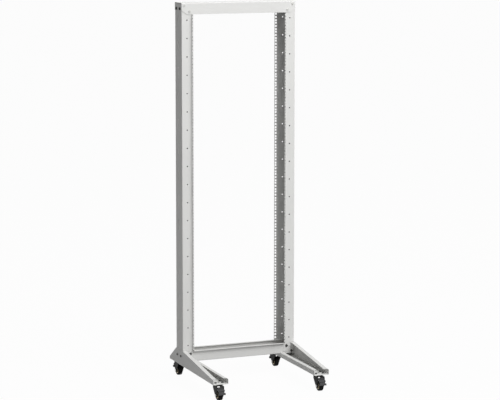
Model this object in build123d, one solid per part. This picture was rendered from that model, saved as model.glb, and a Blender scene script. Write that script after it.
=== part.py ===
from build123d import *
import math
import os

os.makedirs("parts", exist_ok=True)

# Driving dimensions of the rack, in millimetres
unit_height = 44.45
unit_count = 37
sheet = 2.0
overall_width = 598.0
post_depth = 92.0
bend_radius = 2.5

# Post: outer web, front flange with a forward lip, wide rear flange.
# Insets are measured inwards from the outside of the web
front_flange_width = 55.0
rear_flange_width = 71.5
lip_depth = 15.0
square_hole = 9.5
square_line_inset = 64.45
unit_hole_edge = 6.35
unit_hole_step = 15.875
pilot_hole = 6.5
pilot_line_inset = 28.0
web_slot_width = 7.0
web_slot_length = 55.0
web_slot_pitch = 125.0
web_slot_count = 13
web_slot_start = 177.5
web_slot_offset = 5.0

# Beams: an open channel at the bottom and an inverted one on top
beam_margin = 5.0
top_beam_height = 56.0
base_beam_height = 54.0
base_beam_lip = 14.0
tab_margin = 8.0
corner_cut_width = 27.0
corner_cut_height = 20.0
screw_hole = 8.5
screw_outer_inset = 14.0
screw_inner_inset = 41.0
screw_from_edge_near = 15.0
screw_from_edge_far = 42.5
web_screw_front = 21.5
web_screw_spacing = 50.0
web_screw_from_edge = 27.0

# Feet: a folded channel, tall beside the post and low at its ends
foot_length_front = 428.0
foot_length_rear = 186.0
foot_width = 77.0
foot_end_height = 25.0
foot_peak_height = 75.0
foot_rear_height = 12.0
foot_level_front = 20.0
foot_rear_step = 60.0
foot_lip = 10.0
foot_flange = 20.0
seat_gap = 0.3

# Casters: plate, ball race and rivet
caster_height = 81.0
caster_trail = 22.0
caster_front_inset = 44.0
caster_rear_inset = 51.0
plate_size = 50.0
plate_corner = 6.0
plate_thickness = 2.5
plate_hole_spacing = 36.0
plate_hole = 6.5
race_radius = 17.0
race_height = 6.5
kingpin_radius = 5.0
kingpin_head_radius = 8.0
kingpin_head_height = 3.0
rivet_clearance = 1.0
swivel_gap = 0.5
running_gap = 0.08

# Casters: fork
crown_radius = 20.0
crown_thickness = 4.0
leg_thickness = 2.5
leg_rear = 14.0
leg_shoulder = 10.0
leg_overhang = 16.0
leg_heel = 2.0
leg_boss_radius = 9.0
leg_boss_foot = 5.0
fork_edge = 1.5

# Casters: wheel and axle
wheel_width = 22.0
wheel_top_gap = 17.5
wheel_side_gap = 5.0
tyre_thickness = 6.0
tyre_crown_inset = 5.0
tyre_shoulder = 3.0
core_shoulder = 1.0
disc_half = 4.0
rim_depth = 4.0
hub_radius = 8.0
hub_side_gap = 0.4
axle_radius = 4.0
axle_head_radius = 6.5
axle_head_height = 2.0

# Casters: brake pedal, an arc about the axle with two lobes
pedal_gap = 10.0
pedal_thickness = 3.0
pedal_width = 28.0
pedal_low_angle = 12.0
pedal_high_angle = 75.0
lobe_width = 34.0
lobe_span = 13.0
lobe_pitch = 26.0
lower_lobe_rise = 6.0
upper_lobe_rise = 3.5
pedal_ear_radius = 5.0
pedal_pin_radius = 2.5

# Levels, measured up from the floor
foot_bottom = caster_height
beam_rise = 19.0
base_beam_bottom = foot_bottom + beam_rise
base_beam_top = base_beam_bottom + base_beam_height
units_bottom = base_beam_top + beam_margin
units_top = units_bottom + unit_count * unit_height
top_beam_bottom = units_top + beam_margin
rack_top = top_beam_bottom + top_beam_height

# Levels and radii inside a caster
plate_bottom = caster_height - plate_thickness
race_bottom = plate_bottom - race_height
crown_top = race_bottom - swivel_gap
crown_bottom = crown_top - crown_thickness
wheel_radius = (crown_bottom - wheel_top_gap) / 2
rim_radius = wheel_radius - tyre_thickness
leg_inner = wheel_width / 2 + wheel_side_gap
leg_outer = leg_inner + leg_thickness
pedal_inner_radius = wheel_radius + pedal_gap
pedal_outer_radius = pedal_inner_radius + pedal_thickness
pedal_reach = pedal_outer_radius + lower_lobe_rise

# Places across and along the rack; the middle of its length is Y 0
web_outer = overall_width / 2 - sheet
square_line = web_outer - square_line_inset
pilot_line = web_outer - pilot_line_inset
screw_outer = web_outer - screw_outer_inset
screw_inner = web_outer - screw_inner_inset
pedal_front = caster_trail + pedal_reach * math.cos(math.radians(pedal_low_angle))
reach_front = max(foot_length_front, foot_length_front - caster_front_inset + pedal_front)
reach_rear = max(foot_length_rear, foot_length_rear - caster_rear_inset + pedal_front)
front_y = (reach_front - reach_rear) / 2
rear_y = front_y + post_depth
caster_x = overall_width / 2 - foot_width / 2
front_axis_y = front_y - foot_length_front + caster_front_inset
rear_axis_y = front_y + foot_length_rear - caster_rear_inset


def box(x0, x1, y0, y1, z0, z1):
    """A block between two corners."""
    centre = ((x0 + x1) / 2, (y0 + y1) / 2, (z0 + z1) / 2)
    return Pos(*centre) * Box(x1 - x0, y1 - y0, z1 - z0)


def rod_x(radius, x0, x1, y, z):
    """A round bar along X."""
    return Pos((x0 + x1) / 2, y, z) * Rot(0, 90, 0) * Cylinder(radius, x1 - x0)


def rod_y(radius, y0, y1, x, z):
    """A round bar along Y."""
    return Pos(x, (y0 + y1) / 2, z) * Rot(90, 0, 0) * Cylinder(radius, y1 - y0)


def rod_z(radius, z0, z1, x, y):
    """A round bar along Z."""
    return Pos(x, y, (z0 + z1) / 2) * Cylinder(radius, z1 - z0)


def folded(points, plane, length):
    """Sheet bent along a line of points, seen in a plane, and drawn out to a length."""
    with BuildSketch(plane) as section:
        with BuildLine():
            FilletPolyline(*points, radius=bend_radius)
        trace(line_width=sheet)
    return extrude(section.sketch, length)


def square_levels():
    """Heights of the three mounting holes of every rack unit."""
    levels = []
    for unit in range(unit_count):
        for step in range(3):
            levels.append(units_bottom + unit * unit_height + unit_hole_edge + step * unit_hole_step)
    return levels


def pilot_levels():
    """Heights of the small holes: the middle of every second rack unit."""
    return [units_bottom + (unit + 0.5) * unit_height for unit in range(0, unit_count, 2)]


def frame_screws():
    """Places (X, Z) of the screws that hold the beams to the posts' flanges."""
    return [
        (screw_inner, top_beam_bottom + screw_from_edge_near),
        (screw_outer, top_beam_bottom + screw_from_edge_far),
        (screw_inner, base_beam_top - screw_from_edge_near),
        (screw_outer, base_beam_top - screw_from_edge_far),
    ]


def web_screws():
    """Places (Y, Z) of the screws through the webs."""
    places = []
    for y in (front_y + web_screw_front, front_y + web_screw_front + web_screw_spacing):
        places.append((y, top_beam_bottom + web_screw_from_edge))
        places.append((y, base_beam_top - web_screw_from_edge))
    return places


def make_post():
    """The right post, with its web outside and its flanges pointing in."""
    half = sheet / 2
    lip_x = web_outer - front_flange_width + half
    section_points = [
        (lip_x, front_y - lip_depth),
        (lip_x, front_y + half),
        (web_outer - half, front_y + half),
        (web_outer - half, rear_y - half),
        (web_outer - rear_flange_width, rear_y - half),
    ]
    post_height = rack_top - sheet - bend_radius - base_beam_bottom
    post = Pos(0, 0, base_beam_bottom) * folded(section_points, Plane.XY, post_height)

    # The lip stops under the front face of the top beam
    cut_side = lip_x + half + bend_radius
    post -= box(lip_x - sheet, cut_side, front_y - lip_depth - sheet, front_y, top_beam_bottom, rack_top)

    # Square holes: front lip, seen from the side, and rear flange
    cutters = []
    half_hole = square_hole / 2
    lip_middle = front_y - lip_depth / 2
    for z in square_levels():
        low = z - half_hole
        high = z + half_hole
        cutters.append(
            box(lip_x - sheet, lip_x + sheet, lip_middle - half_hole, lip_middle + half_hole, low, high)
        )
        cutters.append(
            box(square_line - half_hole, square_line + half_hole, rear_y - 2 * sheet, rear_y + sheet, low, high)
        )

    # Small round holes in both flanges, every second unit
    for z in pilot_levels():
        cutters.append(rod_y(pilot_hole / 2, front_y - sheet, rear_y + sheet, pilot_line, z))

    # Long slots up the middle of the web
    slot = Rot(0, 90, 0) * extrude(SlotOverall(web_slot_length, web_slot_width), 2 * sheet, both=True)
    slot_y = (front_y + rear_y) / 2 + web_slot_offset
    for index in range(web_slot_count):
        z = base_beam_bottom + web_slot_start + index * web_slot_pitch
        cutters.append(Pos(web_outer, slot_y, z) * slot)

    # Screw holes at both ends
    for x, z in frame_screws():
        cutters.append(rod_y(screw_hole / 2, front_y - sheet, rear_y + sheet, x, z))
    for y, z in web_screws():
        cutters.append(rod_x(screw_hole / 2, web_outer - 2 * sheet, web_outer + sheet, y, z))
    return post - cutters


def beam_cutters():
    """Screw holes for a beam, at both ends."""
    cutters = []
    for side in (-1, 1):
        for x, z in frame_screws():
            cutters.append(rod_y(screw_hole / 2, front_y - 2 * sheet, rear_y + 2 * sheet, side * x, z))
        for y, z in web_screws():
            reach = sorted((side * (web_outer - 3 * sheet), side * (web_outer + sheet)))
            cutters.append(rod_x(screw_hole / 2, reach[0], reach[1], y, z))
    return cutters


def end_tabs(y0, y1, z0, z1):
    """The folded ends of a beam, flat against the insides of the webs."""
    tabs = []
    for side in (-1, 1):
        reach = sorted((side * (web_outer - 2 * sheet), side * (web_outer - sheet)))
        tabs.append(box(reach[0], reach[1], y0, y1, z0, z1))
    return tabs


def make_top_beam():
    """An inverted channel over the posts, with end tabs inside their webs."""
    half = sheet / 2
    section_points = [
        (front_y - half, top_beam_bottom),
        (front_y - half, rack_top - half),
        (rear_y + half, rack_top - half),
        (rear_y + half, top_beam_bottom),
    ]
    beam = Pos(-web_outer, 0, 0) * folded(section_points, Plane.YZ, 2 * web_outer)

    # The lower outer corners of the front and rear faces are cut off at a slant
    for side in (-1, 1):
        corner = Polyline(
            (side * web_outer, top_beam_bottom),
            (side * (web_outer - corner_cut_width), top_beam_bottom),
            (side * web_outer, top_beam_bottom + corner_cut_height),
            close=True,
        )
        beam -= extrude(Plane.XZ * make_face(corner), 2 * rear_y, both=True)
    tabs = end_tabs(front_y + tab_margin, rear_y - tab_margin, top_beam_bottom + sheet, rack_top - half)
    return beam + tabs - beam_cutters()


def make_base_beam():
    """A channel open at the top, between the flanges of the posts."""
    half = sheet / 2
    front = front_y + sheet + half
    rear = rear_y - sheet - half
    section_points = [
        (front + base_beam_lip, base_beam_top - half),
        (front, base_beam_top - half),
        (front, base_beam_bottom + half),
        (rear, base_beam_bottom + half),
        (rear, base_beam_top - half),
        (rear - base_beam_lip, base_beam_top - half),
    ]
    half_length = web_outer - 2 * sheet
    beam = Pos(-half_length, 0, 0) * folded(section_points, Plane.YZ, 2 * half_length)
    tabs = end_tabs(front_y + tab_margin, rear_y - tab_margin, base_beam_bottom, base_beam_top - 2 * sheet)
    return beam + tabs - beam_cutters()


def make_foot():
    """The right foot: plate, tall tapered outer web, low inner wall, folded edges."""
    outer = overall_width / 2
    inner = outer - foot_width
    y0 = front_y - foot_length_front
    y1 = front_y + foot_length_rear
    base = foot_bottom
    peak = base + foot_peak_height
    low = base + foot_end_height

    # Outer web, cut to its outline
    outline = Polyline(
        (y0, base),
        (y0, low),
        (y0 + foot_level_front, low),
        (front_y, peak),
        (rear_y, peak),
        (y1, base + foot_rear_height),
        (y1, base),
        close=True,
    )
    web = Pos(outer - sheet, 0, 0) * extrude(Plane.YZ * make_face(outline), sheet)

    # Plate and low inner wall with its lip, as one fold
    half = sheet / 2
    channel_points = [
        (inner + half + foot_lip, low - half),
        (inner + half, low - half),
        (inner + half, base + half),
        (outer - half, base + half),
    ]
    channel = Pos(0, y1, 0) * folded(channel_points, Plane.XZ, y1 - y0)

    # The lip stops short of the front end, and the wall steps down at the rear
    wall_side = inner - sheet
    lip_side = inner + foot_lip + 2 * sheet
    channel -= box(inner + sheet, lip_side, y0, y0 + foot_level_front, low - 2 * sheet, low)
    channel -= box(wall_side, lip_side, y1 - foot_rear_step, y1, base + foot_rear_height, low)

    # A notch lets the base beam and the post's rear flange through
    notch_floor = base_beam_bottom - seat_gap
    channel -= box(wall_side, lip_side, front_y - sheet, rear_y + sheet, notch_floor, low)

    # Slanted flange along the front slope of the web
    run = foot_length_front - foot_level_front
    slope = math.degrees(math.atan2(foot_peak_height - foot_end_height, run))
    strip = box(outer - foot_flange, outer, 0, run, -sheet, 0)
    foot = web + channel + Pos(0, y0 + foot_level_front, low) * Rot(slope, 0, 0) * strip

    # Bolt holes to the post and to the casters
    cutters = []
    for y, z in web_screws():
        if z < peak:
            cutters.append(rod_x(screw_hole / 2, outer - 2 * sheet, outer + sheet, y, z))
    for axis_y in (front_axis_y, rear_axis_y):
        for x, y in bolt_places():
            x += caster_x
            y += axis_y
            cutters.append(rod_z(plate_hole / 2, base - sheet, base + 2 * sheet, x, y))
        rivet_hole = kingpin_head_radius + rivet_clearance
        cutters.append(rod_z(rivet_hole, base - sheet, base + 2 * sheet, caster_x, axis_y))
    return foot - cutters


def bolt_places():
    """Places (X, Y) of a caster plate's four bolt holes about its middle."""
    half = plate_hole_spacing / 2
    return [(dx * half, dy * half) for dx in (-1, 1) for dy in (-1, 1)]


def make_caster_plate():
    """Top plate with the fixed half of the ball race."""
    outline = RectangleRounded(plate_size, plate_size, plate_corner)
    plate = Pos(0, 0, plate_bottom) * extrude(outline, plate_thickness)
    plate += rod_z(race_radius, race_bottom, plate_bottom, 0, 0)
    cutters = [rod_z(kingpin_radius, race_bottom - sheet, caster_height + sheet, 0, 0)]
    for x, y in bolt_places():
        cutters.append(rod_z(plate_hole / 2, plate_bottom - sheet, caster_height + sheet, x, y))
    return plate - cutters


def make_kingpin():
    """The rivet that the fork turns on."""
    head_top = crown_bottom - swivel_gap
    pin = rod_z(kingpin_radius, head_top, caster_height, 0, 0)
    pin += rod_z(kingpin_head_radius, head_top - kingpin_head_height, head_top, 0, 0)
    pin += rod_z(kingpin_head_radius, caster_height, caster_height + sheet, 0, 0)
    return pin


def make_fork():
    """A pressed fork: round crown, rounded top edges, two legs down to the axle."""
    front = -caster_trail - leg_overhang
    outline = Polyline(
        (leg_rear, crown_top),
        (front, crown_top),
        (front - leg_heel, crown_bottom - leg_shoulder),
        (-caster_trail - leg_boss_radius, wheel_radius),
        (-caster_trail - leg_boss_foot, wheel_radius - leg_boss_radius),
        (-caster_trail + leg_boss_foot, wheel_radius - leg_boss_radius),
        (-caster_trail + leg_boss_radius, wheel_radius),
        (leg_rear, crown_bottom - leg_shoulder),
        close=True,
    )
    side = make_face(outline)
    corners = side.vertices().sort_by(Axis.Y)
    side = fillet(corners[2:6], leg_boss_foot / 2)
    fork = extrude(Plane.YZ * side, leg_outer, both=True)
    long_edges = fork.edges().filter_by(Axis.Y).group_by(Axis.Z)[-1]
    fork = fillet(long_edges, fork_edge)
    fork -= box(-leg_inner, leg_inner, 2 * front, -2 * front, 0, crown_bottom)

    # The crown keeps a round disc, and a window opens over the wheel
    fork += rod_z(crown_radius, crown_bottom, crown_top, 0, 0)
    window = box(-leg_inner, leg_inner, 2 * front, -caster_trail + leg_boss_foot, crown_bottom, crown_top)
    fork -= window - rod_z(crown_radius, crown_bottom, crown_top, 0, 0)
    pivot_y, pivot_z = pedal_pivot()
    cutters = [
        rod_z(kingpin_radius + running_gap, crown_bottom - sheet, crown_top + sheet, 0, 0),
        rod_x(axle_radius, -leg_outer - sheet, leg_outer + sheet, -caster_trail, wheel_radius),
        rod_x(pedal_pin_radius + running_gap, -leg_outer - sheet, leg_outer + sheet, pivot_y, pivot_z),
    ]
    return fork - cutters


def pedal_pivot():
    """Place (Y, Z) of the brake pedal's pin, on the arc of the pedal."""
    return on_wheel((pedal_inner_radius + pedal_outer_radius) / 2, pedal_high_angle)


def on_wheel(radius, angle):
    """A place (Y, Z) about the axle, at an angle up from level on the trailing side."""
    turned = math.radians(angle)
    return (-caster_trail - radius * math.cos(turned), wheel_radius + radius * math.sin(turned))


def make_axle():
    """The bolt through the fork and the wheel."""
    axle = rod_x(axle_radius, -leg_outer, leg_outer, -caster_trail, wheel_radius)
    for side in (-1, 1):
        reach = sorted((side * leg_outer, side * (leg_outer + axle_head_height)))
        axle += rod_x(axle_head_radius, reach[0], reach[1], -caster_trail, wheel_radius)
    return axle


def make_wheel_core():
    """The wheel's core: rim, thin disc and hub, turned round its axle."""
    bore = axle_radius + running_gap
    hub_half = leg_inner - hub_side_gap
    rim_half = wheel_width / 2 - core_shoulder
    half_section = [
        (bore, hub_half),
        (hub_radius, hub_half),
        (hub_radius + core_shoulder, disc_half),
        (rim_radius - rim_depth, disc_half),
        (rim_radius - rim_depth + core_shoulder, rim_half),
        (rim_radius, rim_half),
    ]
    return place_on_axle(turned(half_section))


def make_tyre():
    """The tyre, with rounded shoulders."""
    half = wheel_width / 2
    half_section = [
        (rim_radius, half - core_shoulder),
        (wheel_radius - tyre_shoulder, half),
        (wheel_radius - tyre_shoulder / 3, half - tyre_shoulder / 2),
        (wheel_radius, half - tyre_crown_inset),
    ]
    return place_on_axle(turned(half_section))


def turned(half_section):
    """A ring turned about Y from half of its section, given as (radius, Y)."""
    other_half = [(radius, -y) for radius, y in reversed(half_section)]
    section = Polyline(*half_section, *other_half, close=True)
    return revolve(make_face(section), Axis.Y)


def place_on_axle(shape):
    """Turn a shape from the Y axis onto the wheel's own axle."""
    return Pos(0, -caster_trail, wheel_radius) * Rot(0, 0, 90) * shape


def make_pedal():
    """The brake pedal: a curved plate round the wheel, with two lobes and a pin."""
    band = ring_sector(pedal_outer_radius, pedal_low_angle, pedal_high_angle)
    pedal = extrude(Plane.YZ * band, pedal_width / 2, both=True)
    for index, rise in enumerate((lower_lobe_rise, upper_lobe_rise)):
        low = pedal_low_angle + index * lobe_pitch
        lobe = ring_sector(pedal_outer_radius + rise, low, low + lobe_span)
        pedal += extrude(Plane.YZ * lobe, lobe_width / 2, both=True)
    pivot_y, pivot_z = pedal_pivot()
    pedal += rod_x(pedal_ear_radius, -pedal_width / 2, pedal_width / 2, pivot_y, pivot_z)
    pedal += rod_x(pedal_pin_radius, -leg_outer, leg_outer, pivot_y, pivot_z)
    return pedal


def ring_sector(outer, low, high):
    """A piece of the pedal's ring, out to a radius, between two angles up from level."""
    inner = pedal_inner_radius
    middle = (low + high) / 2
    with BuildSketch() as sector:
        with BuildLine():
            ThreePointArc(on_wheel(inner, low), on_wheel(inner, middle), on_wheel(inner, high))
            Line(on_wheel(inner, high), on_wheel(outer, high))
            ThreePointArc(on_wheel(outer, high), on_wheel(outer, middle), on_wheel(outer, low))
            Line(on_wheel(outer, low), on_wheel(inner, low))
        make_face()
    return sector.sketch


parts = {}
post_right = make_post()
foot_right = make_foot()
parts["post_right"] = post_right
parts["post_left"] = mirror(post_right, Plane.YZ)
parts["foot_right"] = foot_right
parts["foot_left"] = mirror(foot_right, Plane.YZ)
parts["top_beam"] = make_top_beam()
parts["base_beam"] = make_base_beam()

# One caster, placed four times: the rear ones are turned to trail backwards
caster_pieces = {
    "plate": make_caster_plate(),
    "kingpin": make_kingpin(),
    "fork": make_fork(),
    "axle": make_axle(),
    "wheel_core": make_wheel_core(),
    "tyre": make_tyre(),
    "brake_pedal": make_pedal(),
}
caster_places = {
    "caster_front_left": (-caster_x, front_axis_y, 0),
    "caster_front_right": (caster_x, front_axis_y, 0),
    "caster_rear_left": (-caster_x, rear_axis_y, 180),
    "caster_rear_right": (caster_x, rear_axis_y, 180),
}
for caster, (x, y, turn) in caster_places.items():
    for piece, shape in caster_pieces.items():
        parts[caster + "_" + piece] = Pos(x, y, 0) * Rot(0, 0, turn) * shape

for name, shape in parts.items():
    export_step(shape, "parts/" + name + ".step")
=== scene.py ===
import math

import bmesh
import bpy
from mathutils import Matrix, Vector


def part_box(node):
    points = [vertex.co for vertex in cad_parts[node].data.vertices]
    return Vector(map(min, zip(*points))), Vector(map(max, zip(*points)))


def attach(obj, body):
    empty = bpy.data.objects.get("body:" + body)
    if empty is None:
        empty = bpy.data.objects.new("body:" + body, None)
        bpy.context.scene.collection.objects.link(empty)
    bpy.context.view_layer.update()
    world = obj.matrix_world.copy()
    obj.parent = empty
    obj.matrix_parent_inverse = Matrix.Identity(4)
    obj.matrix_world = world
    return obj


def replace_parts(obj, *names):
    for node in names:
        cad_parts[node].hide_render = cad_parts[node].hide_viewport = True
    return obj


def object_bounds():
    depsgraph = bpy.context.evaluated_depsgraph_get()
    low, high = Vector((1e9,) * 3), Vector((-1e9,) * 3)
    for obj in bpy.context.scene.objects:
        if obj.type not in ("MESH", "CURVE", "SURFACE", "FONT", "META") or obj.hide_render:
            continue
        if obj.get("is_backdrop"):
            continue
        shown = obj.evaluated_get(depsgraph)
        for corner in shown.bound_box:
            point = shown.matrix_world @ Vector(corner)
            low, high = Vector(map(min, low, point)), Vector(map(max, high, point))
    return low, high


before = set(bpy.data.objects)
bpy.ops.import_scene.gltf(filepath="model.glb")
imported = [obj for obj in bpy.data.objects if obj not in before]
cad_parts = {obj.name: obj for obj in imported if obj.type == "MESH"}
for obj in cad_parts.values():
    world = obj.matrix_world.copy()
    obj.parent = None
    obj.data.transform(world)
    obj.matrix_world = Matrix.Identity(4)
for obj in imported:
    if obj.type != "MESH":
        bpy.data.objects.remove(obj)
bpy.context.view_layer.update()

print("frame loaded:", len(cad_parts), "nodes")

casterNames = ["caster_front_left", "caster_front_right", "caster_rear_left", "caster_rear_right"]
bothSides = ((-1, "Left"), (1, "Right"))


# Shader helpers: one wrapped socket with arithmetic, one maker of nodes

class Wire:
    def __init__(self, finish, socket):
        self.finish = finish
        self.socket = socket

    def __add__(self, other):
        return self.finish.maths("ADD", self, other)

    def __mul__(self, other):
        return self.finish.maths("MULTIPLY", self, other)

    __radd__ = __add__
    __rmul__ = __mul__


class Finish:
    def __init__(self, owner):
        # the owner is a material or a world
        owner.use_nodes = True
        self.owner = owner
        self.tree = owner.node_tree
        self.tree.nodes.clear()

    def node(self, kind, settings=None, inputs=None, output=0):
        made = self.tree.nodes.new(kind)
        for key, value in (settings or {}).items():
            setattr(made, key, value)
        for key, value in (inputs or {}).items():
            if isinstance(value, Wire):
                self.tree.links.new(value.socket, made.inputs[key])
            else:
                made.inputs[key].default_value = value
        return Wire(self, made.outputs[output]) if len(made.outputs) else None

    def maths(self, operation, first, second):
        return self.node("ShaderNodeMath", {"operation": operation}, {0: first, 1: second})

    def noise(self, scale, detail):
        place = self.node("ShaderNodeTexCoord", output="Object")
        inputs = {"Vector": place, "Scale": scale, "Detail": detail}
        return self.node("ShaderNodeTexNoise", None, inputs)

    def blend(self, factor, first, second):
        settings = {"data_type": "RGBA"}
        return self.node("ShaderNodeMix", settings, {0: factor, 6: first, 7: second}, output=2)

    def span(self, value, low, high):
        inputs = {"Value": value, "To Min": low, "To Max": high}
        return self.node("ShaderNodeMapRange", None, inputs)

    def bump(self, height, strength, distance):
        inputs = {"Height": height, "Strength": strength, "Distance": distance}
        return self.node("ShaderNodeBump", None, inputs)

    def seenPlainly(self):
        # 1 for what the camera sees directly, mirrored or through glass
        names = ("Is Camera Ray", "Is Glossy Ray", "Is Transmission Ray")
        rays = [self.node("ShaderNodeLightPath", output=name) for name in names]
        return self.maths("MINIMUM", rays[0] + rays[1] + rays[2], 1.0)

    def skin(self, sockets):
        shader = self.node("ShaderNodeBsdfPrincipled", None, sockets)
        self.node("ShaderNodeOutputMaterial", None, {"Surface": shader})
        return self.owner


def newFinish(name):
    return Finish(bpy.data.materials.new(name))


# Finishes

coat = {"light": (0.72, 0.72, 0.705, 1), "dark": (0.68, 0.68, 0.668, 1),
        "peel": 700.0, "peelDetail": 3.0, "patch": 6.0, "patchDetail": 2.0,
        "smooth": 0.42, "rough": 0.56, "bump": 0.12, "depth": 0.0004}


def makeCoat():
    finish = newFinish("powderCoat")
    peel = finish.noise(coat["peel"], coat["peelDetail"])
    patch = finish.noise(coat["patch"], coat["patchDetail"])
    colour = finish.blend(patch, coat["light"], coat["dark"])
    rough = finish.span(patch * 0.5 + peel * 0.5, coat["smooth"], coat["rough"])
    normal = finish.bump(peel, coat["bump"], coat["depth"])
    return finish.skin({"Base Color": colour, "Roughness": rough, "Normal": normal})


plasticGrain = {"grain": 1400.0, "grainDetail": 2.0, "patch": 55.0, "patchDetail": 3.0,
                "bump": 0.15, "depth": 0.0002}
plastics = {
    "blackNylon": {"colour": (0.004, 0.004, 0.004, 1), "worn": (0.008, 0.008, 0.008, 1),
                   "smooth": 0.34, "rough": 0.48, "shine": 0.05},
    "greyNylon": {"colour": (0.050, 0.050, 0.052, 1), "worn": (0.070, 0.070, 0.072, 1),
                  "smooth": 0.45, "rough": 0.60, "shine": 0.10},
    "blackEnamel": {"colour": (0.016, 0.016, 0.016, 1), "worn": (0.024, 0.024, 0.024, 1),
                    "smooth": 0.34, "rough": 0.46, "shine": 0.20},
}


def makePlastic(name):
    look = plastics[name]
    finish = newFinish(name)
    grain = finish.noise(plasticGrain["grain"], plasticGrain["grainDetail"])
    patch = finish.noise(plasticGrain["patch"], plasticGrain["patchDetail"])
    tint = finish.blend(patch, look["colour"], look["worn"])
    rough = finish.span(patch, look["smooth"], look["rough"])
    normal = finish.bump(grain, plasticGrain["bump"], plasticGrain["depth"])
    return finish.skin({"Base Color": tint, "Roughness": rough, "Normal": normal,
                        "Specular IOR Level": look["shine"]})


metalGrain = {"scratch": 900.0, "scratchDetail": 4.0, "patch": 70.0, "patchDetail": 2.0,
              "bump": 0.1, "depth": 0.0001}
metals = {
    "zincPlate": {"colour": (0.62, 0.62, 0.60, 1), "worn": (0.50, 0.50, 0.48, 1),
                  "smooth": 0.28, "rough": 0.45, "metallic": 1.0},
    "darkZinc": {"colour": (0.10, 0.10, 0.10, 1), "worn": (0.14, 0.14, 0.135, 1),
                 "smooth": 0.35, "rough": 0.50, "metallic": 1.0},
    "yellowZinc": {"colour": (0.66, 0.56, 0.36, 1), "worn": (0.54, 0.46, 0.31, 1),
                   "smooth": 0.30, "rough": 0.45, "metallic": 0.5},
}


def makeMetal(name):
    look = metals[name]
    finish = newFinish(name)
    scratch = finish.noise(metalGrain["scratch"], metalGrain["scratchDetail"])
    patch = finish.noise(metalGrain["patch"], metalGrain["patchDetail"])
    tint = finish.blend(patch, look["colour"], look["worn"])
    rough = finish.span(scratch, look["smooth"], look["rough"])
    normal = finish.bump(scratch, metalGrain["bump"], metalGrain["depth"])
    return finish.skin({"Base Color": tint, "Roughness": rough, "Normal": normal,
                        "Metallic": look["metallic"]})


rubber = {"colour": (0.006, 0.006, 0.006, 1), "dusty": (0.012, 0.012, 0.012, 1),
          "grain": 600.0, "grainDetail": 3.0, "dust": 90.0, "dustDetail": 3.0,
          "smooth": 0.5, "rough": 0.75, "bump": 0.2, "depth": 0.0003, "shine": 0.08}


def makeRubber():
    finish = newFinish("tyreRubber")
    grain = finish.noise(rubber["grain"], rubber["grainDetail"])
    dust = finish.noise(rubber["dust"], rubber["dustDetail"])
    colour = finish.blend(dust, rubber["colour"], rubber["dusty"])
    rough = finish.span(grain, rubber["smooth"], rubber["rough"])
    normal = finish.bump(grain, rubber["bump"], rubber["depth"])
    return finish.skin({"Base Color": colour, "Roughness": rough, "Normal": normal,
                        "Specular IOR Level": rubber["shine"]})


powderCoat = makeCoat()
blackNylon = makePlastic("blackNylon")
greyNylon = makePlastic("greyNylon")
blackEnamel = makePlastic("blackEnamel")
zincPlate = makeMetal("zincPlate")
darkZinc = makeMetal("darkZinc")
yellowZinc = makeMetal("yellowZinc")
tyreRubber = makeRubber()

nodeFinish = {"post": powderCoat, "beam": powderCoat, "foot": powderCoat, "plate": blackEnamel,
              "kingpin": zincPlate, "fork": blackNylon, "axle": zincPlate,
              "core": blackNylon, "tyre": tyreRubber, "pedal": greyNylon}

for nodeName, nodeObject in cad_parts.items():
    for word, material in nodeFinish.items():
        if word in nodeName.split("_"):
            nodeObject.data.materials.clear()
            nodeObject.data.materials.append(material)
print("finishes ready")


# Geometry Nodes: a head or nut with a recess, put on each point of a mesh

treeInputs = {"Head Radius": "Float", "Head Height": "Float", "Washer Radius": "Float",
              "Washer Height": "Float", "Recess Radius": "Float", "Recess Depth": "Float",
              "Head Sides": "Int", "Recess Sides": "Int", "Turn": "Vector", "Finish": "Material"}
washerSides = 24


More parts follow.
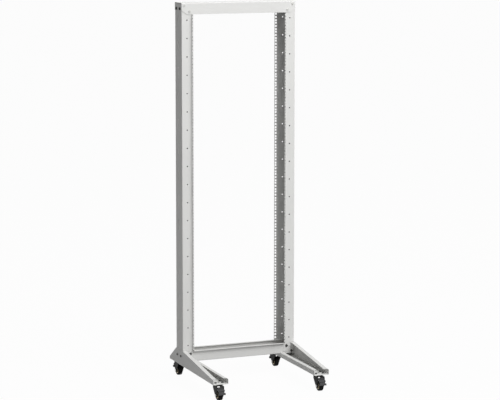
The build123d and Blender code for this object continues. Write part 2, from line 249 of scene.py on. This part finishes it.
def fastenerTree():
    tree = bpy.data.node_groups.new("fastener", "GeometryNodeTree")
    face = tree.interface
    for way in ("INPUT", "OUTPUT"):
        face.new_socket("Geometry", in_out=way, socket_type="NodeSocketGeometry")
    for name, kind in treeInputs.items():
        face.new_socket(name, in_out="INPUT", socket_type="NodeSocket" + kind)
    given = tree.nodes.new("NodeGroupInput").outputs

    def add(kind, inputs, output=0, settings=None):
        made = tree.nodes.new(kind)
        for key, value in (settings or {}).items():
            setattr(made, key, value)
        for key, value in inputs.items():
            if isinstance(value, bpy.types.NodeSocket):
                tree.links.new(value, made.inputs[key])
            else:
                made.inputs[key].default_value = value
        return made.outputs[output]

    def sums(operation, first, second):
        return add("ShaderNodeMath", {0: first, 1: second}, 0, {"operation": operation})

    def cylinder(sides, radius, depth, middle):
        inputs = {"Vertices": sides, "Radius": radius, "Depth": depth}
        mesh = add("GeometryNodeMeshCylinder", inputs, "Mesh")
        place = add("ShaderNodeCombineXYZ", {"Z": middle})
        return add("GeometryNodeTransform", {"Geometry": mesh, "Translation": place})

    washerTop = given["Washer Height"]
    headTop = sums("ADD", washerTop, given["Head Height"])
    headMiddle = sums("ADD", washerTop, sums("MULTIPLY", given["Head Height"], 0.5))
    washer = cylinder(washerSides, given["Washer Radius"], washerTop,
                      sums("MULTIPLY", washerTop, 0.5))
    head = cylinder(given["Head Sides"], given["Head Radius"], given["Head Height"], headMiddle)
    tool = cylinder(given["Recess Sides"], given["Recess Radius"],
                    sums("MULTIPLY", given["Recess Depth"], 2.0), headTop)
    cut = add("GeometryNodeMeshBoolean", {"Mesh 1": head, "Mesh 2": tool}, "Mesh",
              {"operation": "DIFFERENCE"})
    joined = tree.nodes.new("GeometryNodeJoinGeometry")
    tree.links.new(washer, joined.inputs[0])
    tree.links.new(cut, joined.inputs[0])
    points = add("GeometryNodeMeshToPoints", {"Mesh": given["Geometry"]})
    turn = add("FunctionNodeEulerToRotation", {"Euler": given["Turn"]})
    spread = add("GeometryNodeInstanceOnPoints",
                 {"Points": points, "Instance": joined.outputs[0], "Rotation": turn})
    real = add("GeometryNodeRealizeInstances", {"Geometry": spread})
    done = add("GeometryNodeSetMaterial", {"Geometry": real, "Material": given["Finish"]})
    tree.links.new(done, tree.nodes.new("NodeGroupOutput").inputs[0])
    return tree


fastener = fastenerTree()


def addObject(name, mesh):
    made = bpy.data.objects.new(name, mesh)
    bpy.context.collection.objects.link(made)
    return made


def plainMesh(holder):
    # what the holder's modifiers make, as a mesh of its own
    depsgraph = bpy.context.evaluated_depsgraph_get()
    return bpy.data.meshes.new_from_object(holder.evaluated_get(depsgraph))


def meshFromNodes(name, points, tree, settings):
    # the points carry the tree once, and what it makes is kept as a plain mesh
    seed = bpy.data.meshes.new(name + "Points")
    seed.from_pydata([tuple(p) for p in points], [], [])
    holder = addObject(name + "Points", seed)
    modifier = holder.modifiers.new("nodes", "NODES")
    modifier.node_group = tree
    for item in tree.interface.items_tree:
        if item.in_out == "INPUT" and item.name in settings:
            modifier[item.identifier] = settings[item.name]
    mesh = plainMesh(holder)
    mesh.name = name
    made = addObject(name, mesh)
    bpy.data.objects.remove(holder)
    return made


def addFasteners(name, points, direction, size, material):
    # the tree makes a fastener along +Z, which is turned towards the direction
    settings = dict(size)
    settings["Turn"] = tuple(Vector(direction).to_track_quat("Z", "Y").to_euler())
    settings["Finish"] = material
    made = meshFromNodes(name, points, fastener, settings)
    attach(made, "frame")


# Frame screws, where the beams meet the posts

postLow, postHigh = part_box("post_right")
topLow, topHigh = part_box("top_beam")
baseLow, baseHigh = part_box("base_beam")
footLow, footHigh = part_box("foot_right")

places = {"inner": 0.256, "outer": 0.283, "near": 0.015, "far": 0.0425, "webNear": 0.0215,
          "webStep": 0.050, "webEdge": 0.027, "lip": 0.015, "sheet": 0.002}
topScrew = {"Head Radius": 0.0048, "Head Height": 0.0026, "Head Sides": 28,
            "Washer Radius": 0.0057, "Washer Height": 0.0008,
            "Recess Radius": 0.0023, "Recess Depth": 0.0016, "Recess Sides": 6}
panScrew = {"Head Radius": 0.0058, "Head Height": 0.0030, "Head Sides": 28,
            "Washer Radius": 0.0068, "Washer Height": 0.0008,
            "Recess Radius": 0.0026, "Recess Depth": 0.0018, "Recess Sides": 6}
capScrew = {"Head Radius": 0.0064, "Head Height": 0.0034, "Head Sides": 28,
            "Washer Radius": 0.0074, "Washer Height": 0.0010,
            "Recess Radius": 0.0030, "Recess Depth": 0.0022, "Recess Sides": 6}
hexNut = {"Head Radius": 0.0074, "Head Height": 0.0055, "Head Sides": 6,
          "Washer Radius": 0.0085, "Washer Height": 0.0012,
          "Recess Radius": 0.0034, "Recess Depth": 0.0030, "Recess Sides": 16}

sheetGauge = places["sheet"]
frontPlane = postLow.y + places["lip"]  # front face of the posts' flanges
rearPlane = postHigh.y
topWeb = topLow.z + places["webEdge"]
baseWeb = baseHigh.z - places["webEdge"]


def beamPoints(plane, edge, inwards):
    # two screws at each end of a beam, counted from its edge beside the opening
    levels = ((places["inner"], edge + inwards * places["near"]),
              (places["outer"], edge + inwards * places["far"]))
    return [(side * x, plane, z) for side, word in bothSides for x, z in levels]


def webPoints(x, level):
    first = frontPlane + places["webNear"]
    return [(x, first + step * places["webStep"], level) for step in (0, 1)]


for name, points, direction, size, material in (
        ("topScrewsFront", beamPoints(topLow.y, topLow.z, 1), (0, -1, 0), topScrew, zincPlate),
        ("topScrewsRear", beamPoints(topHigh.y, topLow.z, 1), (0, 1, 0), topScrew, zincPlate),
        ("baseScrewsFront", beamPoints(frontPlane, baseHigh.z, -1), (0, -1, 0), panScrew, darkZinc),
        ("baseScrewsRear", beamPoints(rearPlane, baseHigh.z, -1), (0, 1, 0), panScrew, darkZinc)):
    addFasteners(name, points, direction, size, material)

for side, word in bothSides:
    outward = (side, 0, 0)
    inward = (-side, 0, 0)
    inner = side * (postHigh.x - 2 * sheetGauge)
    topPoints = webPoints(side * postHigh.x, topWeb)
    basePoints = webPoints(side * footHigh.x, baseWeb)
    addFasteners("topWebScrews" + word, topPoints, outward, capScrew, blackEnamel)
    addFasteners("baseWebScrews" + word, basePoints, outward, panScrew, darkZinc)
    addFasteners("topWebNuts" + word, webPoints(inner, topWeb), inward, hexNut, zincPlate)
    addFasteners("baseWebNuts" + word, webPoints(inner, baseWeb), inward, hexNut, zincPlate)

# Black pieces shaped like threaded inserts behind the small holes of the front flanges, every
# second rack unit; their black is painted shade inside the holes
holeShadeRow = {"line": 0.269, "first": 0.181225, "step": 0.0889, "count": 19, "length": 0.0072}
holeShadeInsert = {"Head Radius": 0.0052, "Head Height": 0.0070, "Head Sides": 20,
                  "Washer Radius": 0.0048, "Washer Height": 0.0002,
                  "Recess Radius": 0.0034, "Recess Depth": 0.0065, "Recess Sides": 16}
for side, word in bothSides:
    back = frontPlane + sheetGauge + holeShadeRow["length"]
    levels = [holeShadeRow["first"] + row * holeShadeRow["step"] for row in range(holeShadeRow["count"])]
    points = [(side * holeShadeRow["line"], back, level) for level in levels]
    # painted shade: black pieces that keep each small hole dark inside
    addFasteners("holeShadeInserts" + word, points, (0, -1, 0), holeShadeInsert, blackNylon)
print("frame screws placed")


# Folded sheets: a centre line in two directions, thickened and drawn out along a third

def foldLine(points, bend, steps):
    # each inner corner becomes an arc, kept as places and their directions
    line = [(Vector(points[0]), (Vector(points[1]) - Vector(points[0])).normalized())]
    for before, corner, after in zip(points, points[1:], points[2:]):
        corner = Vector(corner)
        entering = (corner - Vector(before)).normalized()
        leaving = (Vector(after) - corner).normalized()
        turn = entering.angle(leaving)
        start = corner - entering * bend * math.tan(turn / 2)
        inward = (leaving - entering * entering.dot(leaving)).normalized()
        for step in range(steps + 1):
            part = turn * step / steps
            place = start + entering * bend * math.sin(part) + inward * bend * (1 - math.cos(part))
            line.append((place, entering * math.cos(part) + inward * math.sin(part)))
    last = Vector(points[-1])
    line.append((last, (last - Vector(points[-2])).normalized()))
    return line


def drawSheet(target, line, gauge, atStart, atEnd):
    # adds one closed sheet to a mesh being built
    rows = []
    for place, along in line:
        across = Vector((-along.y, along.x)) * gauge / 2
        rows.append([target.verts.new(put(*(place + across * sign)))
                     for put in (atStart, atEnd) for sign in (1, -1)])
    for one, two in zip(rows, rows[1:]):
        for first, second in ((0, 1), (1, 3), (3, 2), (2, 0)):
            target.faces.new((one[first], one[second], two[second], two[first]))
    for end in (rows[0], rows[-1]):
        target.faces.new((end[0], end[1], end[3], end[2]))


def keepMesh(target, name):
    mesh = bpy.data.meshes.new(name)
    target.to_mesh(mesh)
    target.free()
    return mesh


def finishSheet(target, name):
    bmesh.ops.recalc_face_normals(target, faces=target.faces)
    mesh = keepMesh(target, name)
    mesh.materials.append(powderCoat)
    made = addObject(name, mesh)
    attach(made, "frame")
    return made


# Base beam: a channel whose walls both end in a lip turned forwards
baseFold = {"gauge": 0.002, "lip": 0.014, "bend": 0.0025, "steps": 4, "lipEnd": 0.2405,
            "tabMargin": 0.008, "tabTop": 0.004}


def makeBaseBeam():
    gauge, bend, lip = baseFold["gauge"], baseFold["bend"], baseFold["lip"]
    half = gauge / 2
    front = baseLow.y + half
    rear = baseHigh.y - half
    bottom = baseLow.z + half
    top = baseHigh.z - half
    join = baseHigh.z - gauge - bend  # level where the front lip's piece takes over
    target = bmesh.new()
    channel = [(front, join), (front, bottom), (rear, bottom), (rear, top), (rear - lip, top)]
    frontLip = [(front, join), (front, top), (front - lip, top)]
    for points, end in ((channel, baseHigh.x), (frontLip, baseFold["lipEnd"])):
        drawSheet(target, foldLine(points, bend, baseFold["steps"]), gauge,
                  lambda y, z: (-end, y, z), lambda y, z: (end, y, z))
    tabFront = frontPlane + baseFold["tabMargin"]
    tabRear = postHigh.y - baseFold["tabMargin"]
    tabTop = baseHigh.z - baseFold["tabTop"]
    for side, word in bothSides:
        wall = side * (baseHigh.x - half)
        tab = [(tabFront, wall), (tabRear, wall)]
        drawSheet(target, foldLine(tab, bend, 1), gauge,
                  lambda y, x: (x, y, baseLow.z + gauge), lambda y, x: (x, y, tabTop))
    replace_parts(finishSheet(target, "baseBeam"), "base_beam")


makeBaseBeam()

# Feet: the inner lip reaches further over the channel
footFold = {"gauge": 0.002, "height": 0.025, "level": 0.020, "step": 0.060,
            "lip": 0.011, "lipWide": 0.018, "notch": 0.002}


def makeFootEdges():
    level = footLow.z + footFold["height"] - footFold["gauge"] / 2
    stretches = ((footLow.y + footFold["level"], frontPlane - footFold["notch"]),
                 (postHigh.y + footFold["notch"], footHigh.y - footFold["step"]))
    for side, word in bothSides:
        target = bmesh.new()
        lip = [(side * (footLow.x + footFold[edge]), level) for edge in ("lip", "lipWide")]
        for start, end in stretches:
            drawSheet(target, foldLine(lip, 0, 1), footFold["gauge"],
                      lambda x, z: (x, start, z), lambda x, z: (x, end, z))
        finishSheet(target, "footEdges" + word)


makeFootEdges()

# Posts: below the base beam's lip the front flange has no lip of its own
lipNotch = {"inner": 0.2400, "outer": 0.2465, "forward": 0.020, "below": 0.010, "weld": 0.000001}


def notchPost(side, word, nodeName):
    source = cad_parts[nodeName]
    middle = Vector((side * (lipNotch["inner"] + lipNotch["outer"]) / 2,
                     frontPlane - lipNotch["forward"] / 2,
                     (baseHigh.z + baseLow.z - lipNotch["below"]) / 2))
    size = Vector((lipNotch["outer"] - lipNotch["inner"], lipNotch["forward"],
                   baseHigh.z - baseLow.z + lipNotch["below"]))
    block = bmesh.new()
    place = Matrix.Translation(middle) @ Matrix.Diagonal(size).to_4x4()
    bmesh.ops.create_cube(block, size=1.0, matrix=place)
    cutter = addObject("notchBlock", keepMesh(block, "notchBlock"))
    # the node's triangles are loose, so the copy is welded before the cut
    welded = bmesh.new()
    welded.from_mesh(source.data)
    welded.transform(source.matrix_world)
    bmesh.ops.remove_doubles(welded, verts=welded.verts, dist=lipNotch["weld"])
    for triangle in welded.faces:
        triangle.smooth = False
    whole = keepMesh(welded, "notchedPost" + word)
    whole.materials.append(powderCoat)
    made = addObject("notchedPost" + word, whole)
    modifier = made.modifiers.new("notch", "BOOLEAN")
    modifier.operation = "DIFFERENCE"
    modifier.solver = "EXACT"
    modifier.object = cutter
    mesh = plainMesh(made)
    made.modifiers.clear()
    made.data = mesh
    bpy.data.objects.remove(cutter)
    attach(made, "frame")
    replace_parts(made, nodeName)


for side, word in bothSides:
    notchPost(side, word, "post_" + word.lower())
print("folded sheets made")


# Bolts and nuts that hold the casters' plates

casterBolt = {"spacing": 0.036, "gauge": 0.0025}
boltHead = {"Head Radius": 0.0056, "Head Height": 0.0040, "Head Sides": 6,
            "Washer Radius": 0.0065, "Washer Height": 0.0010,
            "Recess Radius": 0.0022, "Recess Depth": 0.0010, "Recess Sides": 16}


def platePoints(low, high, level):
    middle = (low + high) / 2
    half = casterBolt["spacing"] / 2
    return [(middle.x + dx * half, middle.y + dy * half, level)
            for dx in (-1, 1) for dy in (-1, 1)]


for casterName in casterNames:
    plateLow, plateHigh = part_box(casterName + "_plate")
    above = platePoints(plateLow, plateHigh, plateHigh.z + sheetGauge)
    below = platePoints(plateLow, plateHigh, plateHigh.z - casterBolt["gauge"])
    addFasteners(casterName + "BoltHeads", above, (0, 0, 1), boltHead, darkZinc)
    addFasteners(casterName + "Nuts", below, (0, 0, -1), boltHead, zincPlate)
print("caster bolts placed")


# Bearing rings on the wheels' sides

ringShape = {"inner": 0.0115, "outer": 0.0150, "proud": 0.0006, "sunk": 0.004,
             "corner": 0.0004, "steps": 48}


def latheAlongX(name, section, steps, centre):
    # a closed section (distance along X, radius) turned about the X axis
    vertices = []
    faces = []
    count = len(section)
    for step in range(steps):
        angle = 2 * math.pi * step / steps
        for along, radius in section:
            vertices.append((centre.x + along, centre.y + radius * math.cos(angle),
                             centre.z + radius * math.sin(angle)))
    for step in range(steps):
        here = step * count
        after = (step + 1) % steps * count
        for index in range(count):
            other = (index + 1) % count
            faces.append((here + index, here + other, after + other, after + index))
    mesh = bpy.data.meshes.new(name)
    mesh.from_pydata(vertices, [], faces)
    mesh.update()
    return addObject(name, mesh)


for casterName in casterNames:
    low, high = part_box(casterName + "_tyre")
    centre = (low + high) / 2
    halfWidth = (high.x - low.x) / 2
    inner, outer, corner = ringShape["inner"], ringShape["outer"], ringShape["corner"]
    for side, word in bothSides:
        inside = side * (halfWidth - ringShape["sunk"])
        outside = side * (halfWidth + ringShape["proud"])
        bevel = outside - side * corner
        section = [(inside, inner), (bevel, inner), (outside, inner + corner),
                   (outside, outer - corner), (bevel, outer), (inside, outer)]
        if side > 0:
            section.reverse()
        ring = latheAlongX(casterName + "Ring" + word, section, ringShape["steps"], centre)
        ring.data.materials.append(yellowZinc)
        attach(ring, casterName + "_wheel")
print("wheel rings made")


# Floor, lights and camera

studio = {"floorHalf": 90.0, "floorWhite": 0.97, "floorColour": (0.5, 0.5, 0.5, 1),
          "white": (1, 1, 1, 1), "ambient": 0.12, "aim": (0, 0, 1.0)}
# azimuth in degrees from the front, -Y, towards +X; distance and size in metres
lamps = {
    "keyLamp": {"azimuth": 22, "elevation": 42, "distance": 8.5, "size": 6.5, "power": 745},
    "fillLamp": {"azimuth": -60, "elevation": 14, "distance": 6.5, "size": 3.5, "power": 6},
    "topLamp": {"azimuth": 10, "elevation": 80, "distance": 4.5, "size": 2.5, "power": 60},
}
lens = {"focal": 2026.0, "width": 500.0, "height": 400.0, "centreX": 242.5, "centreY": 162.8,
        "yaw": 21.57, "pitch": 7.43, "place": (-3.611, -9.0575, 2.3622), "sensor": 36.0,
        "clipEnd": 300.0}


def makeFloor():
    half = studio["floorHalf"]
    corners = [(-half, -half, 0), (half, -half, 0), (half, half, 0), (-half, half, 0)]
    mesh = bpy.data.meshes.new("floor")
    mesh.from_pydata(corners, [], [(0, 1, 2, 3)])
    floor = addObject("floor", mesh)
    finish = newFinish("paleFloor")
    share = finish.seenPlainly() * studio["floorWhite"]
    plain = finish.node("ShaderNodeBsdfDiffuse", None, {"Color": studio["floorColour"]})
    white = finish.node("ShaderNodeEmission", None, {"Color": studio["white"], "Strength": 1.0})
    mixed = finish.node("ShaderNodeMixShader", None, {0: share, 1: plain, 2: white})
    finish.node("ShaderNodeOutputMaterial", None, {"Surface": mixed})
    mesh.materials.append(finish.owner)
    floor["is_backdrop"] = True


def makeWorld():
    finish = Finish(bpy.data.worlds.new("studio"))
    bpy.context.scene.world = finish.owner
    level = finish.span(finish.seenPlainly(), studio["ambient"], 1.0)
    inputs = {"Color": studio["white"], "Strength": level}
    background = finish.node("ShaderNodeBackground", None, inputs)
    finish.node("ShaderNodeOutputWorld", None, {"Surface": background})


def addLamp(name, lamp):
    azimuth = math.radians(lamp["azimuth"])
    elevation = math.radians(lamp["elevation"])
    away = Vector((math.sin(azimuth) * math.cos(elevation),
                   -math.cos(azimuth) * math.cos(elevation), math.sin(elevation)))
    light = bpy.data.lights.new(name, "AREA")
    light.shape = "SQUARE"
    light.size = lamp["size"]
    light.energy = lamp["power"]
    holder = addObject(name, light)
    holder.location = Vector(studio["aim"]) + away * lamp["distance"]
    holder.rotation_euler = away.to_track_quat("Z", "Y").to_euler()


def addCamera():
    data = bpy.data.cameras.new("photoCamera")
    data.sensor_width = lens["sensor"]
    data.lens = lens["focal"] / lens["width"] * lens["sensor"]
    data.shift_x = (lens["width"] / 2 - lens["centreX"]) / lens["width"]
    data.shift_y = -(lens["height"] / 2 - lens["centreY"]) / lens["width"]
    data.clip_end = lens["clipEnd"]
    camera = addObject("photoCamera", data)
    camera.location = lens["place"]
    camera.rotation_euler = (math.radians(90 - lens["pitch"]), 0, math.radians(-lens["yaw"]))
    bpy.context.scene.camera = camera


makeFloor()
makeWorld()
for name, lamp in lamps.items():
    addLamp(name, lamp)
addCamera()
bpy.context.scene.view_settings.view_transform = "Standard"
print("studio ready")

low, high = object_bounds()
